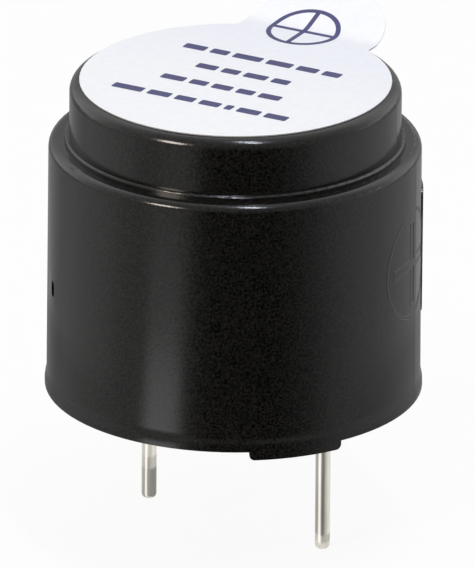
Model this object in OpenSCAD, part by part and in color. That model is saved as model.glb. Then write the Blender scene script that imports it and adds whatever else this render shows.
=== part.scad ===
// Self-drive magnetic buzzer: a stepped round case on two pins, with a wash seal on its top.
// Millimetres. Z passes midway between the pins, z = 0 is the circuit board that it seats on,
// and +X points to the positive pin.

/* [Case] */
// Diameter of the lower case at its rim
case_d = 16; // [15:0.1:20]
// Height from the seating plane to the flat top
case_h = 14; // [13.9:0.1:18]
// Height of the upper case above the shoulder
upper_h = 2.6; // [1.8:0.05:3.2]
// Width of the shoulder between the upper case and the rim
shoulder_w = 1; // [0.9:0.05:1.2]
// Wall of the lower case
wall = 0.85; // [0.8:0.05:1.1]
// Wall of the upper case
upper_wall = 0.9; // [0.8:0.05:1.2]
// Thickness of the top and of the shoulder
roof_t = 0.9; // [0.7:0.05:1.1]
// Rounding of the top edge
top_fillet = 0.5; // [0.2:0.05:0.6]
// Rounding of the shoulder's outer edge
shoulder_fillet = 0.36; // [0.2:0.02:0.45]
// Width of the step at the foot of the upper case
collar_w = 0.2; // [0.1:0.05:0.3]
// Height of that step
collar_h = 0.2; // [0.1:0.05:0.4]
// How far the rim flares out from the wall above it
flare_w = 0.08; // [0.04:0.01:0.2]
// Height of that flare
flare_h = 0.55; // [0.3:0.05:1.5]
// Height of the straight band below the flare
rim_band = 0.18; // [0.1:0.02:0.5]
// Draft of the lower case, as the radius lost from the flare to the shoulder
draft = 0.05; // [0.02:0.01:0.1]
// Diameter of the sound port
port_d = 3; // [2:0.1:4]

/* [Feet] */
// Number of stand-off feet
foot_count = 2; // [2:1:4]
// Height of each foot
foot_h = 0.36; // [0.2:0.02:0.8]
// Width of each foot round the rim
foot_w = 4.1; // [2:0.1:5]
// Rounding of a foot's lower corners
foot_fillet = 0.24; // [0.06:0.02:0.3]
// Direction of the first foot, from the positive pin
foot_turn = -55.8; // [-180:0.1:180]

/* [Wash seal] */
// Diameter of the seal
seal_d = 13.16; // [10:0.02:13.4]
// Thickness of the seal
seal_t = 0.06; // [0.04:0.01:0.2]
// Width of the pull tab
tab_w = 6.3; // [4:0.1:8]
// Reach of the pull tab past the edge of the seal
tab_reach = 3.15; // [1.5:0.05:5]
// Direction of the pull tab, from the positive pin
tab_turn = 75; // [-180:0.5:180]
// Angle that the tab is bent up by
tab_lift = 19.5; // [0:0.5:40]
// Radius of the bend under the tab
tab_bend = 2; // [1:0.1:5]

/* [Pins] */
// Distance between the pins
pin_pitch = 7.62; // [7:0.01:9.2]
// Distance of the pins' midpoint from the axis of the case, towards the positive pin
pin_offset = 0.14; // [-0.2:0.02:0.2]
// Diameter of a pin
pin_d = 0.64; // [0.5:0.01:0.8]
// Length of the positive pin below the seating plane
positive_l = 6.85; // [2:0.05:12]
// Length of the negative pin below the seating plane
negative_l = 5.35; // [2:0.05:12]
// Diameter of the pin's collar, which is cast into the resin
pin_collar_d = 1; // [0.95:0.05:1.2]

/* [Sounder] */
// Thickness of the diaphragm
diaphragm_t = 0.06; // [0.04:0.01:0.1]
// Diameter of the armature disc on the diaphragm
armature_d = 5.2; // [3:0.1:7]
// Thickness of the armature disc
armature_t = 0.35; // [0.2:0.05:0.5]
// Wall of the support ring beside the magnet
ring_wall = 0.8; // [0.7:0.05:1]
// Wall of the support ring round the diaphragm
ring_lip = 0.35; // [0.25:0.05:0.4]
// Depth of the recess that the diaphragm lies in
ring_recess = 0.5; // [0.4:0.05:0.8]
// Height of the ring magnet
magnet_h = 3.1; // [2.4:0.1:3.2]
// Width of the ring magnet, from its bore to its outside
magnet_w = 1.8; // [1.4:0.1:2]
// Space between the magnet and the diaphragm
magnet_gap = 0.65; // [0.5:0.05:1]
// Space between the core and the diaphragm
core_gap = 0.45; // [0.3:0.05:0.6]
// Diameter of the iron core
core_d = 2.5; // [1.8:0.1:2.8]
// Thickness of the yoke plate
yoke_t = 1; // [0.8:0.05:1.2]

/* [Coil] */
// Wall of the bobbin's hub
hub_wall = 0.35; // [0.2:0.05:0.5]
// Thickness of a bobbin flange
flange_t = 0.35; // [0.25:0.05:0.5]
// Space between the bobbin and the magnet
coil_gap = 0.5; // [0.3:0.05:0.8]
// How far the flanges stand past the windings
flange_proud = 0.25; // [0.2:0.05:0.35]
// Thickness of the feedback winding, which lies over the drive winding
feedback_t = 0.5; // [0.2:0.05:0.8]
// Diameter of a coil lead
lead_d = 0.14; // [0.08:0.02:0.2]

/* [Electronics] */
// Thickness of the circuit board
board_t = 1; // [0.6:0.1:1.6]
// Thickness of the sealing resin at its middle
resin_t = 1.75; // [1.2:0.05:2.2]
// How far the resin lies inside the rim, at its middle
resin_recess = 0.45; // [0.2:0.05:0.8]
// Width and length of the transistor's body
transistor_size = [1.3, 2.9];
// Width and length of the chip resistor
resistor_size = [1.25, 2];
// Width and length of the diode's body
diode_size = [1.6, 2.7];

/* [Hidden] */
$fn = 96;
eps = 0.01;          // overshoot of a cut past a face
slip = 0.05;         // clearance between pieces that slide together
magnet_slip = 0.1;   // clearance of the magnet in its ring
ledge_w = 0.2;       // step in the bore that the board seats on
bevel = 0.1;         // small edge break on turned and moulded pieces

// The case, from the outside in and from the top down
case_r = case_d/2;
wall_r = case_r - flare_w;
top_r = case_r - shoulder_w;
shoulder_z = case_h - upper_h;
rim_z = foot_h;
rim_break = 0.02;    // small edge break under the rim
flare_z = rim_z + rim_band;
bore_r = case_r - wall;
step_r = bore_r - ledge_w;
chamber_r = top_r - upper_wall;
ring_top = shoulder_z - roof_t;

// The seal covers the flat top; its tab is creased just inside the seal's edge
seal_r = seal_d/2;
tab_cove = 0.45;
crease_x = seal_r - 0.35;
bend_out = tab_bend + seal_t;

// The sounder hangs from the underside of the shoulder
ring_r = step_r - slip;
ring_bore_r = ring_r - ring_wall;
seat_r = ring_r - ring_lip;
seat_z = ring_top - ring_recess;
diaphragm_r = seat_r - slip;
magnet_r = ring_bore_r - magnet_slip;
magnet_bore_r = magnet_r - magnet_w;
magnet_z = seat_z - magnet_gap;
yoke_z = magnet_z - magnet_h;
yoke_bottom = yoke_z - yoke_t;
core_r = core_d/2;
core_top = seat_z - core_gap;
rivet_r = 0.72*core_r;
head_r = core_r + 0.1;
head_h = 0.25;

// The coil fills the space between the core and the magnet
flange_r = magnet_bore_r - coil_gap;
hub_bore_r = core_r + slip;
hub_r = hub_bore_r + hub_wall;
wind_r = flange_r - flange_proud;
drive_r = wind_r - feedback_t;
bobbin_h = magnet_h;
wind_h = bobbin_h - 2*flange_t;
lead_clear = 0.04;   // space between a lead and the winding that it leaves
lead_r = wind_r + lead_clear + lead_d/2;
lead_turns = [27, 153, 207, 333];
lead_hole_r = 0.4;   // hole in the yoke plate for a lead
notch_w = 0.36;      // notch in the lower flange for a lead

// The board seats up against the ledge in the bore, over the resin
resin_z = rim_z + resin_recess;
board_z = resin_z + resin_t;
board_top = board_z + board_t;
board_r = bore_r - slip;
land_t = 0.05;       // height of the copper lands
pin_r = pin_d/2;
pin_collar_r = pin_collar_d/2;
pin_collar_z = resin_z + slip;
pin_stub = 0.55;     // how far a pin stands above the board
fillet_r = 0.5;      // reach and height of the solder round a pin
bead_r = 0.32;       // solder bead round a coil lead
bead_land_r = 0.5;   // land under a solder bead
resin_climb = 0.3;   // how far the resin creeps up the wall and the pins
tip_round = 0.2;     // rounding of a pin's tip

// Places of the parts on the board
transistor_y = 3.9;
resistor_at = [-2.1, -3.9];
diode_at = [2.2, -3.9];
body_t = 1;          // height of the transistor and diode bodies
standoff = 0.08;     // space under a part's body
foil = 0.12;         // thickness of a part's metal leads

// ---- shared shapes ----

// A ring about Z, turned from a plain section with broken edges.
module bevelled_ring(r_in, r_out, z, h, b = bevel) {
    translate([0, 0, z]) rotate_extrude()
        polygon([[r_in + b, 0], [r_out - b, 0], [r_out, b], [r_out, h - b],
            [r_out - b, h], [r_in + b, h], [r_in, h - b], [r_in, b]]);
}

// The waste outside a rounded corner of radius r, whose corner point is at the origin.
module corner_waste(r) {
    difference() {
        translate([-r, -r]) square([r + eps, r + eps]);
        translate([-r, -r]) circle(r);
    }
}

// A concave fillet of radius r in the corner at the origin, which opens to +X and +Y.
module cove(r) {
    difference() {
        square(r);
        translate([r, r]) circle(r);
    }
}

// A child moved to the positive pin (side = 1) or to the negative pin (side = -1).
module at_pin(side) {
    translate([pin_offset + side*pin_pitch/2, 0, 0]) children();
}

// Copies of a child at the two pins.
module at_pins() {
    for (side = [-1, 1]) at_pin(side) children();
}

// Copies of a child at the coil leads.
module at_leads() {
    for (turn = lead_turns) rotate([0, 0, turn]) translate([lead_r, 0, 0]) children();
}

// ---- case ----

// The waste outside the rim's flare, which is round below and hollow above.
module flare_waste() {
    flare_r = (flare_w*flare_w + flare_h*flare_h)/(4*flare_w);
    middle_z = flare_z + flare_h/2;
    difference() {
        translate([case_r - flare_w/2, flare_z]) square([flare_w, flare_h/2]);
        translate([case_r - flare_r, flare_z]) circle(flare_r);
    }
    intersection() {
        translate([wall_r, middle_z]) square([flare_w + eps, flare_h/2 + eps]);
        translate([wall_r + flare_r, flare_z + flare_h]) circle(flare_r);
    }
}

// Outside of the case as a half section.
module case_outline() {
    difference() {
        union() {
            polygon([[0, rim_z], [case_r - rim_break, rim_z], [case_r, rim_z + rim_break],
                [case_r, flare_z + flare_h], [wall_r, flare_z + flare_h],
                [wall_r - draft, shoulder_z], [0, shoulder_z]]);
            square([top_r + collar_w, shoulder_z + collar_h]);
            square([top_r, case_h]);
        }
        square([case_r, rim_z]);
        flare_waste();
        translate([top_r, case_h]) corner_waste(top_fillet);
        translate([wall_r - draft, shoulder_z]) corner_waste(shoulder_fillet);
        translate([top_r + collar_w, shoulder_z + collar_h]) corner_waste(min(collar_w, collar_h)/2);
    }
}

// The stepped bore as a half section: board bore, sounder bore, sound chamber and port.
module case_bore() {
    chamber_top = case_h - roof_t;
    difference() {
        union() {
            square([bore_r, board_top]);
            square([step_r, ring_top]);
            square([chamber_r, chamber_top]);
        }
        translate([chamber_r, chamber_top]) corner_waste(2*bevel);
    }
    square([port_d/2, case_h + eps]);
    translate([0, case_h - bevel])
        polygon([[0, 0], [port_d/2, 0], [port_d/2 + bevel + eps, bevel + eps], [0, bevel + eps]]);
}

// A wedge from the axis with rounded lower corners, which a foot is cut to.
module foot_wedge() {
    half_turn = asin(foot_w/case_d);
    difference() {
        linear_extrude(height = rim_z + rim_band/2) polygon([[0, 0],
            case_d*[cos(half_turn), -sin(half_turn)], case_d*[cos(half_turn), sin(half_turn)]]);
        for (side = [0, 1]) mirror([0, side, 0]) rotate([0, 0, half_turn])
            rotate([90, 0, 90]) linear_extrude(height = case_d)
            mirror([0, 1]) corner_waste(foot_fillet);
    }
}

// A foot: a piece of the rim's ring, with radial sides.
module foot(turn) {
    intersection() {
        difference() {
            cylinder(h = case_h, r = case_r);
            translate([0, 0, -eps]) cylinder(h = case_h + 2*eps, r = bore_r);
        }
        rotate([0, 0, turn]) foot_wedge();
    }
}

// The sunken mark where the plastic was fed into the mould.
module gate_mark() {
    gate_turn = -151;
    gate_z = shoulder_z - 6.1;
    gate_r = 0.2;
    gate_tall = 0.3;
    gate_deep = 0.15;
    rotate([0, 0, gate_turn]) translate([wall_r - draft - gate_deep, 0, gate_z]) rotate([0, 90, 0]) {
        for (side = [-1, 1]) translate([side*gate_tall/2, 0, 0]) cylinder(h = 1, r = gate_r);
        translate([-gate_tall/2, -gate_r, 0]) cube([gate_tall, 2*gate_r, 1]);
    }
}

module housing() {
    color("#1b1b1c") difference() {
        union() {
            rotate_extrude() case_outline();
            for (i = [0:foot_count - 1]) foot(foot_turn + i*360/foot_count);
        }
        rotate_extrude() case_bore();
        gate_mark();
    }
}

// ---- wash seal ----

// The flat part of the seal, seen from above with its tab towards +X: the disc, and small
// coves where the tab's sides run into it. The coves bite a little, so that nothing is tangent.
module seal_disc() {
    bite = 0.02;
    cove_y = tab_w/2 + tab_cove - bite;
    cove_x = sqrt(pow(seal_r + tab_cove - bite, 2) - pow(cove_y, 2));
    root_w = tab_w + tab_cove;
    intersection() {
        circle(seal_r);
        translate([-seal_d, -seal_d]) square([seal_d + crease_x, 2*seal_d]);
    }
    difference() {
        translate([0, -root_w/2]) square([cove_x, root_w]);
        for (side = [-1, 1]) translate([cove_x, side*cove_y]) circle(tab_cove);
    }
}

// A point of the bent tab: radius r from the axis of the bend, at an angle, then straight on by run.
function bend_point(r, angle, run = 0) =
    [crease_x + r*sin(angle) + run*cos(angle), bend_out - r*cos(angle) + run*sin(angle)];

// The tab seen from its side: flat under the disc, round the bend, then straight up to its end.
module tab_side() {
    steps = 6;
    polygon(concat(
        [[crease_x - tab_w/4, 0]],
        [for (i = [0:steps]) bend_point(bend_out, tab_lift*i/steps)],
        [bend_point(bend_out, tab_lift, tab_reach), bend_point(tab_bend, tab_lift, tab_reach)],
        [for (i = [steps:-1:0]) bend_point(tab_bend, tab_lift*i/steps)],
        [[crease_x - tab_w/4, seal_t]]));
}

// The tab's outline along its raised face: straight sides and a round end.
module tab_outline() {
    lobe_x = tab_reach + seal_r - crease_x - tab_w/2;
    translate([lobe_x, 0]) circle(tab_w/2);
    translate([lobe_x - tab_w, -tab_w/2]) square([tab_w, tab_w]);
}

module wash_seal() {
    color("#f2f3f7") rotate([0, 0, tab_turn]) translate([0, 0, case_h]) {
        linear_extrude(height = seal_t) seal_disc();
        intersection() {
            rotate([90, 0, 0]) linear_extrude(height = 2*tab_w, center = true) tab_side();
            translate([crease_x, 0, 0]) rotate([0, -tab_lift, 0])
                linear_extrude(height = 4*tab_w, center = true) tab_outline();
        }
    }
}

// ---- sounder ----

module diaphragm() {
    color("#c9ccd0") translate([0, 0, seat_z]) cylinder(h = diaphragm_t, r = diaphragm_r);
}

module armature_disc() {
    color("#9a9da1") bevelled_ring(0, armature_d/2, seat_z + diaphragm_t, armature_t, 0.05);
}

// Moulded ring that centres the magnet and carries the diaphragm by its edge.
module support_ring() {
    color("#2b2c30") difference() {
        bevelled_ring(ring_bore_r, ring_r, yoke_z, ring_top - yoke_z);
        translate([0, 0, seat_z]) cylinder(h = ring_recess + eps, r = seat_r);
    }
}

module ring_magnet() {
    color("#3a3c40") bevelled_ring(magnet_bore_r, magnet_r, yoke_z, magnet_h);
}

module yoke_plate() {
    color("#8d9296") difference() {
        translate([0, 0, yoke_bottom]) cylinder(h = yoke_t, r = ring_r);
        translate([0, 0, yoke_bottom - eps]) {
            cylinder(h = yoke_t + 2*eps, r = rivet_r);
            at_leads() cylinder(h = yoke_t + 2*eps, r = lead_hole_r);
        }
    }
}

// Iron core, shouldered on the yoke plate and riveted over beneath it.
module pole_core() {
    color("#a4a8ac") rotate_extrude() polygon([[0, yoke_bottom - head_h],
        [head_r - bevel, yoke_bottom - head_h], [head_r, yoke_bottom - head_h + bevel],
        [head_r, yoke_bottom], [rivet_r, yoke_bottom], [rivet_r, yoke_z], [core_r, yoke_z],
        [core_r, core_top - bevel], [core_r - bevel, core_top], [0, core_top]]);
}

// ---- coil ----

module coil_bobbin() {
    color("#d9d2bd") translate([0, 0, yoke_z]) difference() {
        rotate_extrude() polygon([[hub_bore_r, 0], [flange_r, 0], [flange_r, flange_t],
            [hub_r, flange_t], [hub_r, bobbin_h - flange_t], [flange_r, bobbin_h - flange_t],
            [flange_r, bobbin_h], [hub_bore_r, bobbin_h]]);
        at_leads() translate([-lead_d/2 - lead_clear, -notch_w/2, -eps])
            cube([flange_r, notch_w, flange_t + 2*eps]);
    }
}

// A winding between two radii, with its ends against the bobbin's flanges.
module winding(r_in, r_out) {
    difference() {
        translate([0, 0, yoke_z + flange_t]) cylinder(h = wind_h, r = r_out);
        translate([0, 0, yoke_z]) cylinder(h = bobbin_h, r = r_in);
    }
}

module drive_winding() {
    color("#b5652b") winding(hub_r, drive_r);
}

module feedback_winding() {
    color("#c47a3a") winding(drive_r, wind_r);
}

// Coil ends, led down through the bobbin and the yoke plate to their lands.
module coil_leads() {
    lead_top = yoke_z + flange_t + wind_h/3;
    color("#c06a2c") at_leads()
        translate([0, 0, board_top + land_t]) cylinder(h = lead_top - board_top - land_t, r = lead_d/2);
}

// ---- electronics ----

// Round board with copper lands under every joint.
module circuit_board() {
    color("#b98d4a") difference() {
        translate([0, 0, board_z]) cylinder(h = board_t, r = board_r);
        translate([0, 0, board_z - eps]) at_pins() cylinder(h = board_t + 2*eps, r = pin_r + slip);
    }
    color("#c77b45") translate([0, 0, board_top - eps]) {
        at_pins() difference() {
            cylinder(h = land_t + eps, r = pin_r + slip + fillet_r);
            translate([0, 0, -eps]) cylinder(h = land_t + 3*eps, r = pin_r + slip);
        }
        at_leads() cylinder(h = land_t + eps, r = bead_land_r);
    }
}

// A moulded package with sloped sides and formed leads: [x, side] for each lead.
module package(size, leads, lead_w, lead_reach) {
    half_w = size[0]/2;
    draft_in = 0.1;
    lead_z = standoff + body_t/2;
    rotate([90, 0, 0]) linear_extrude(height = size[1], center = true)
        polygon([[-half_w + draft_in, standoff], [half_w - draft_in, standoff],
            [half_w, lead_z], [half_w - draft_in, standoff + body_t],
            [-half_w + draft_in, standoff + body_t], [-half_w, lead_z]]);
    for (lead = leads) mirror([lead[1] < 0 ? 1 : 0, 0, 0])
        translate([0, lead[0], 0]) rotate([90, 0, 0])
        linear_extrude(height = lead_w, center = true)
            polygon([[half_w - draft_in, lead_z - foil/2], [half_w + foil, lead_z - foil/2],
                [half_w + foil, 0], [half_w + lead_reach, 0], [half_w + lead_reach, foil],
                [half_w + 2*foil, foil], [half_w + 2*foil, lead_z + foil/2],
                [half_w - draft_in, lead_z + foil/2]]);
}

module transistor() {
    lead_pitch = 0.95;
    color("#202124") translate([0, transistor_y, board_top]) rotate([0, 0, 90])
        package(transistor_size, [[-lead_pitch, 1], [lead_pitch, 1], [0, -1]], 0.4, 0.55);
}

module clamp_diode() {
    color("#26272a") translate([diode_at[0], diode_at[1], board_top]) rotate([0, 0, 90])
        package([diode_size[1], diode_size[0]], [[0, 1], [0, -1]], 0.55, 0.45);
}

// Ceramic chip with a metal cap over each end.
module base_resistor() {
    cap_l = 0.35;
    cap_t = 0.04;
    chip_t = 0.45;
    translate([resistor_at[0], resistor_at[1], board_top]) {
        color("#e8e6df") translate([-resistor_size[1]/2, -resistor_size[0]/2, cap_t])
            cube([resistor_size[1], resistor_size[0], chip_t]);
        color("#c9ccd0") for (side = [0, 1]) mirror([side, 0, 0])
            translate([resistor_size[1]/2 - cap_l, -resistor_size[0]/2 - cap_t, 0])
            cube([cap_l + cap_t, resistor_size[0] + 2*cap_t, chip_t + 2*cap_t]);
    }
}

// Round pin with a rounded tip, pushed up through the board until its collar seats. It is
// drawn with its tip upwards, then turned over.
module pin(length) {
    mirror([0, 0, 1]) rotate_extrude() difference() {
        union() {
            translate([0, -board_top - pin_stub]) square([pin_r, length + board_top + pin_stub]);
            translate([0, -board_z]) square([pin_collar_r, board_z - pin_collar_z]);
        }
        translate([pin_r, length]) corner_waste(tip_round);
        translate([pin_r, -board_top - pin_stub]) mirror([0, 1]) corner_waste(bevel);
    }
}

module positive_pin() {
    color("#d4d2cc") at_pin(1) pin(positive_l);
}

module negative_pin() {
    color("#d4d2cc") at_pin(-1) pin(negative_l);
}

// Solder drawn up round each pin in a concave fillet.
module pin_solder() {
    color("#c2c4c6") at_pins() translate([0, 0, board_top + land_t]) rotate_extrude()
        translate([pin_r, 0]) cove(fillet_r - eps);
}

module lead_solder() {
    color("#c2c4c6") at_leads() translate([0, 0, board_top + land_t]) difference() {
        intersection() {
            translate([0, 0, -bead_r/3]) sphere(bead_r);
            cylinder(h = bead_r, r = bead_r);
        }
        translate([0, 0, -eps]) cylinder(h = bead_r, r = lead_d/2 + eps);
    }
}

// Resin that closes the case, creeping a little down the wall and the pins.
module sealing_resin() {
    color("#15171a") difference() {
        union() {
            translate([0, 0, resin_z]) cylinder(h = resin_t, r = bore_r);
            translate([0, 0, resin_z + eps]) mirror([0, 0, 1]) {
                rotate_extrude() translate([bore_r, 0]) mirror([1, 0]) cove(resin_climb);
                at_pins() rotate_extrude() translate([pin_r, 0]) cove(resin_climb);
            }
        }
        at_pins() {
            cylinder(h = case_h, r = pin_r);
            translate([0, 0, pin_collar_z]) cylinder(h = case_h, r = pin_collar_r);
        }
    }
}

// Every piece is drawn about the axis of the case, and the pins' midpoint goes to the origin.
translate([-pin_offset, 0, 0]) {
    housing();
    wash_seal();
    diaphragm();
    armature_disc();
    support_ring();
    ring_magnet();
    yoke_plate();
    pole_core();
    coil_bobbin();
    drive_winding();
    feedback_winding();
    coil_leads();
    lead_solder();
    circuit_board();
    transistor();
    base_resistor();
    clamp_diode();
    positive_pin();
    negative_pin();
    pin_solder();
    sealing_resin();
}
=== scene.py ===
# %% [markdown]
# # A magnetic buzzer, finished in Blender
# The buzzer is a stepped black case on two pins, with a white film stuck over its sound port.
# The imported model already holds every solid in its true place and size, so it comes in as a
# fixed frame: nothing in it is moved. This file adds what a solid model leaves out, which is
# the finishes, the print, the moulded sign, the lamps and the camera.

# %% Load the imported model
import math

import bmesh
import bpy
from mathutils import Matrix, Vector


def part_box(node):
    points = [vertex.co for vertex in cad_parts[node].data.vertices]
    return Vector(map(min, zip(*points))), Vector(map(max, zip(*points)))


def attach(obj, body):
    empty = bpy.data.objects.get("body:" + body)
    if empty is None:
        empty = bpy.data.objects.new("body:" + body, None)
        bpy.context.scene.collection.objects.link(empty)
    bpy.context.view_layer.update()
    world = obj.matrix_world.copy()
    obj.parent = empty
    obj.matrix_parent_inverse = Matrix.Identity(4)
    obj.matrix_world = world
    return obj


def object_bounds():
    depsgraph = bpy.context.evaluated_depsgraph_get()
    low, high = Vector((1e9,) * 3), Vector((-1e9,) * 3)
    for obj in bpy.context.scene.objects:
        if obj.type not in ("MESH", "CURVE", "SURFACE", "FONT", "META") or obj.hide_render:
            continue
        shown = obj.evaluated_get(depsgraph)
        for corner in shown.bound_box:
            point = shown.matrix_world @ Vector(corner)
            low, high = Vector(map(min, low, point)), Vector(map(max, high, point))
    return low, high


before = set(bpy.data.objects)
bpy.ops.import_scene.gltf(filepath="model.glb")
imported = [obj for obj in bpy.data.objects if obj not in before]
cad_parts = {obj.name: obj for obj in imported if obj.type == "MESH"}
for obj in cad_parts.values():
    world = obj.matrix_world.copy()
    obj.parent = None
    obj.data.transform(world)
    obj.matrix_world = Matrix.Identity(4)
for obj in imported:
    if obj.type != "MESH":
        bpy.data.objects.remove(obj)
cad_low, cad_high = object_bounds()
print("nodes:", len(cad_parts), "box in mm:", [round(v * 1000, 2) for v in cad_high - cad_low])

# %% [markdown]
# ## Units and colours
# Blender works in metres, and a buzzer is spoken of in millimetres, so one constant turns one
# into the other. Colours are chosen as hex values, which are coded for a screen, while shaders
# want linear light. One function undoes the coding, and all colours pass through it.

# %% Units and colours
MM = 0.001


def linear(hex_colour):
    """The linear colour of an sRGB hex value such as #1b1b1c."""
    coded = [int(hex_colour[i:i + 2], 16) / 255 for i in (1, 3, 5)]
    return [c / 12.92 if c <= 0.04045 else ((c + 0.055) / 1.055) ** 2.4 for c in coded] + [1.0]


# %% Where things are
case_low, case_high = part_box("housing")
film_low, film_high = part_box("wash_seal")
pin_low, pin_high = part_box("positive_pin")
case_axis = Vector(((case_low.x + case_high.x) / 2, 0, 0))
case_r = (case_high.x - case_low.x) / 2
case_top = case_high.z
tab_turn = math.radians(75.0)
print("case axis at x =", round(case_axis.x / MM, 2), "mm, radius", round(case_r / MM, 2), "mm")
print("film from", round(film_low.z / MM, 2), "to", round(film_high.z / MM, 2), "mm up")
print("longer pin from", round(pin_low.z / MM, 2), "to", round(pin_high.z / MM, 2), "mm up")

# %% [markdown]
# ## Materials by nodes
# Each finish is a small tree of nodes. The helper below adds one node with its settings and its
# links, and it serves for every kind of node, so that a tree reads like a list. A node that is
# handed in stands for its first output. Patterns are placed by Object coordinates, which are
# metres on the part itself: a scale of 1 / (2 * MM) makes a pattern about two millimetres wide.

# %% One way to add a shader node
def add(tree, kind, inputs=None, stops=None, **settings):
    """Adds a node: inputs are its values or what feeds them, settings are its properties, and
    stops are the (position, hex colour) pairs of a colour ramp."""
    node = tree.nodes.new("ShaderNode" + kind)
    for name, value in settings.items():
        setattr(node, name, value)
    for key, value in (inputs or {}).items():
        if isinstance(value, bpy.types.Node):
            value = value.outputs[0]
        if isinstance(value, bpy.types.NodeSocket):
            tree.links.new(value, node.inputs[key])
        else:
            node.inputs[key].default_value = value
    if stops:
        while len(node.color_ramp.elements) < len(stops):
            node.color_ramp.elements.new(1.0)
        for element, (position, colour) in zip(node.color_ramp.elements, stops):
            element.position, element.color = position, linear(colour)
    return node


# %% Start a material
def blank_material(name):
    """A material with an empty tree, and the place on the part that its patterns are drawn by."""
    material = bpy.data.materials.new(name)
    material.use_nodes = True
    tree = material.node_tree
    tree.nodes.clear()
    return material, tree, add(tree, "TexCoord").outputs["Object"]


# %% Give a node its finish
def coat(material, *nodes):
    """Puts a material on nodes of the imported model."""
    for node in nodes:
        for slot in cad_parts[node].material_slots:
            slot.material = material
    print(", ".join(nodes), "in", material.name)


# %% Make an object of a mesh
def set_down(mesh, name):
    """Turns a bmesh into an object at the origin."""
    data = bpy.data.meshes.new(name)
    mesh.to_mesh(data)
    mesh.free()
    obj = bpy.data.objects.new(name, data)
    bpy.context.scene.collection.objects.link(obj)
    return obj


# %% Keep a new piece
sharp_angle = 0.3


def keep(mesh, name, material, smooth=True):
    """Makes a new piece of the part, which rides on the case. Where its faces turn by more than
    the sharp angle they keep their edge, so that a flat beside a bevel is shaded flat."""
    bmesh.ops.recalc_face_normals(mesh, faces=mesh.faces)
    for face in mesh.faces:
        face.smooth = smooth
    for edge in mesh.edges:
        edge.smooth = edge.calc_face_angle(0) < sharp_angle
    obj = set_down(mesh, name)
    obj.data.materials.append(material)
    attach(obj, "root")
    print(name, "has", len(obj.data.polygons), "faces")


# %% [markdown]
# ## Camera
# The part is seen from a little above, from in front and slightly to its right, through a long
# lens that flattens perspective, as small parts are usually shown. The camera is placed by its
# direction and distance, turned towards a point in the case, and rolled half a degree.

# %% Place the camera
view_azimuth = math.radians(14.4)
view_elevation = math.radians(22.107)
view_distance = 0.7
view_roll = math.radians(0.434)
foot_h = 0.36 * MM
rim = case_axis + Vector((0, 0, foot_h))
aim = rim + Vector((0.1365, 0.0347, 4.428)) * MM
toward_camera = Vector((math.sin(view_azimuth) * math.cos(view_elevation),
                        -math.cos(view_azimuth) * math.cos(view_elevation),
                        math.sin(view_elevation)))

camera_data = bpy.data.cameras.new("camera")
camera_data.lens = 1047.17
camera_data.sensor_width = 36
camera_data.clip_start, camera_data.clip_end = 0.05, 5
camera = bpy.data.objects.new("camera", camera_data)
bpy.context.scene.collection.objects.link(camera)
camera.location = rim + toward_camera * view_distance
camera.rotation_mode = "QUATERNION"
camera.rotation_quaternion = ((aim - camera.location).to_track_quat("-Z", "Y")
                              @ Matrix.Rotation(view_roll, 4, "Z").to_quaternion())
bpy.context.scene.camera = camera
print("camera at", [round(v / MM, 1) for v in camera.location], "mm")

# %% [markdown]
# ## Floor
# The longer pin's tip is the lowest point of the part, so a wide pale floor lies just there. It
# is a matt white board. Part of what the eye sees of it is its own even white, so that it reads
# as a clean ground, and the rest is lit, so that the part's shadow stays on it.

# %% Make the floor
floor_z = cad_low.z
floor_half = 3.0
floor_mesh = bmesh.new()
bmesh.ops.create_grid(floor_mesh, x_segments=1, y_segments=1, size=floor_half)
bmesh.ops.translate(floor_mesh, verts=floor_mesh.verts, vec=(0, 0, floor_z))
floor = set_down(floor_mesh, "floor")
print("floor at", round(floor_z / MM, 2), "mm")

# %% Paint the floor
own_white = 0.92
white_board, tree, place = blank_material("Matt white board")
grain = add(tree, "TexNoise", {"Vector": place, "Scale": 1 / (2 * MM), "Detail": 2.0})
board_white = add(tree, "ValToRGB", {"Fac": grain}, stops=[(0.3, "#f6f6f6"), (0.7, "#fafafa")])
board = add(tree, "BsdfPrincipled", {"Base Color": board_white, "Roughness": 0.9,
                                     "Specular IOR Level": 0.0})
path = add(tree, "LightPath").outputs
seen = add(tree, "Math", {0: path["Is Camera Ray"], 1: path["Is Glossy Ray"]}, operation="MAXIMUM")
seen = add(tree, "Math", {0: seen, 1: path["Is Transmission Ray"]}, operation="MAXIMUM")
share = add(tree, "Math", {0: seen, 1: own_white}, operation="MULTIPLY")
even = add(tree, "Emission", {"Color": linear("#ffffff"), "Strength": 1.0})
add(tree, "OutputMaterial", {"Surface": add(tree, "MixShader", {0: share, 1: board, 2: even})})
floor.data.materials.append(white_board)
print("the floor's own white is", own_white)

# %% [markdown]
# ## Light
# A pale room gives most of the light. Two softboxes give the black case its shape: a warm one,
# low on the left, draws the bright streaks on the left of the rounded edges, and a cool one,
# high above the front, draws the short ones near the middle.

# %% The room
world = bpy.data.worlds.new("pale room")
bpy.context.scene.world = world
world.use_nodes = True
tree = world.node_tree
tree.nodes.clear()
room_light = 0.56
room = add(tree, "Background", {"Color": linear("#ffffff"), "Strength": room_light})
add(tree, "OutputWorld", {"Surface": room})
bpy.context.scene.view_settings.view_transform = "Standard"
print("room light:", room_light)


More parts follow.
